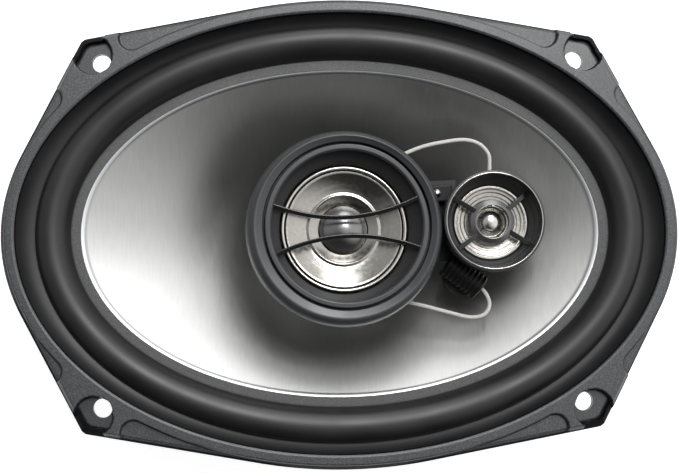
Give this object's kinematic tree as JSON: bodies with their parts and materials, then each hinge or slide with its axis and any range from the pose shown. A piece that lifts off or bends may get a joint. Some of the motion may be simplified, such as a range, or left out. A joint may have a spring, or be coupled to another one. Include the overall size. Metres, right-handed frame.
{
  "type": "coaxial car speaker",
  "caption": "Oval coaxial car speaker with a silver cone, rubber roll surround, and midrange and tweeter pods on a centre post.",
  "frame": {"origin": "centre of the rear face of the back plate, the face that the speaker rests on, at the bottom centre of its box", "axes": "+Z along the cone's axis towards the listener, X along the long side of the oval, with the tweeter at +X"},
  "size_m": [0.239, 0.166, 0.0997],
  "materials": {
    "black_steel": "satin black paint on pressed steel",
    "trim_plastic": "fine grained black moulding",
    "surround_rubber": "smooth satin rubber",
    "cone_silver": "satin silver coating on a moulded cone",
    "bright_silver": "polished metal film",
    "pod_black": "semi-gloss black moulding",
    "cap_grey": "satin dark grey dome",
    "ferrite": "ground ferrite",
    "zinc_steel": "zinc plated",
    "coil_copper": "lacquered copper wire",
    "former_film": "amber film",
    "spider_cloth": "resin dipped woven cloth",
    "felt": "black felt",
    "braided_wire": "tinsel braid",
    "fibre_board": "hard brown fibre board",
    "tab_brass": "stamped brass",
    "shrink_sleeve": "black sleeve"
  },
  "bodies": {
    "frame": {"basket": "black_steel", "trim_ring": "trim_plastic", "back_plate_and_pole": "zinc_steel", "magnet": "ferrite", "front_plate": "zinc_steel", "basket_rivet_1": "zinc_steel", "basket_rivet_2": "zinc_steel", "basket_rivet_3": "zinc_steel", "basket_rivet_4": "zinc_steel", "surround": "surround_rubber", "spider": "spider_cloth", "support_post": "zinc_steel", "post_screw": "zinc_steel", "post_nut": "zinc_steel", "bridge": "pod_black", "mid_housing": "pod_black", "mid_bezel": "pod_black", "mid_yoke": "zinc_steel", "mid_magnet": "ferrite", "mid_top_plate": "zinc_steel", "mid_chassis": "black_steel", "mid_surround": "surround_rubber", "mid_baffle": "pod_black", "mid_grille": "pod_black", "tweeter_housing": "pod_black", "tweeter_rim": "bright_silver", "tweeter_screw_1": "zinc_steel", "tweeter_screw_2": "zinc_steel", "tweeter_yoke": "zinc_steel", "tweeter_magnet": "zinc_steel", "tweeter_top_plate": "zinc_steel", "tweeter_reflector": "bright_silver", "tweeter_surround": "bright_silver", "tweeter_guard": "pod_black", "tweeter_capacitor": "shrink_sleeve", "solder_block": "pod_black", "solder_screw": "zinc_steel", "upper_pod_lead": "braided_wire", "lower_pod_lead": "braided_wire", "rear_lead_right": "braided_wire", "rear_lead_left": "braided_wire", "terminal_block": "fibre_board", "terminal_rivet_1": "zinc_steel", "terminal_rivet_2": "zinc_steel", "positive_tab": "tab_brass", "negative_tab": "tab_brass"},
    "main_cone": {"cone": "cone_silver", "cone_eyelet_1": "tab_brass", "cone_eyelet_2": "tab_brass", "voice_coil_former": "former_film", "voice_coil_winding": "coil_copper", "dust_ring": "felt"},
    "mid_diaphragm": {"mid_cone": "bright_silver", "mid_cap": "cap_grey", "mid_coil": "coil_copper"},
    "tweeter_diaphragm": {"tweeter_dome": "bright_silver", "tweeter_coil": "coil_copper"}
  },
  "joints": [
    {"name": "cone_travel", "type": "slide", "parent": "frame", "child": "main_cone", "axis": [0, 0, 1], "range_m": [-0.004, 0.004], "stiffness_N_per_m": 1800, "deforming": ["surround", "spider", "rear_lead_right", "rear_lead_left"]},
    {"name": "mid_travel", "type": "slide", "parent": "frame", "child": "mid_diaphragm", "axis": [0, 0, 1], "range_m": [-0.0006, 0.0006], "stiffness_N_per_m": 3000, "deforming": ["mid_surround"]},
    {"name": "tweeter_travel", "type": "slide", "parent": "frame", "child": "tweeter_diaphragm", "axis": [0, 0, 1], "range_m": [-0.0002, 0.0002], "stiffness_N_per_m": 5000, "deforming": ["tweeter_surround"]}
  ]
}
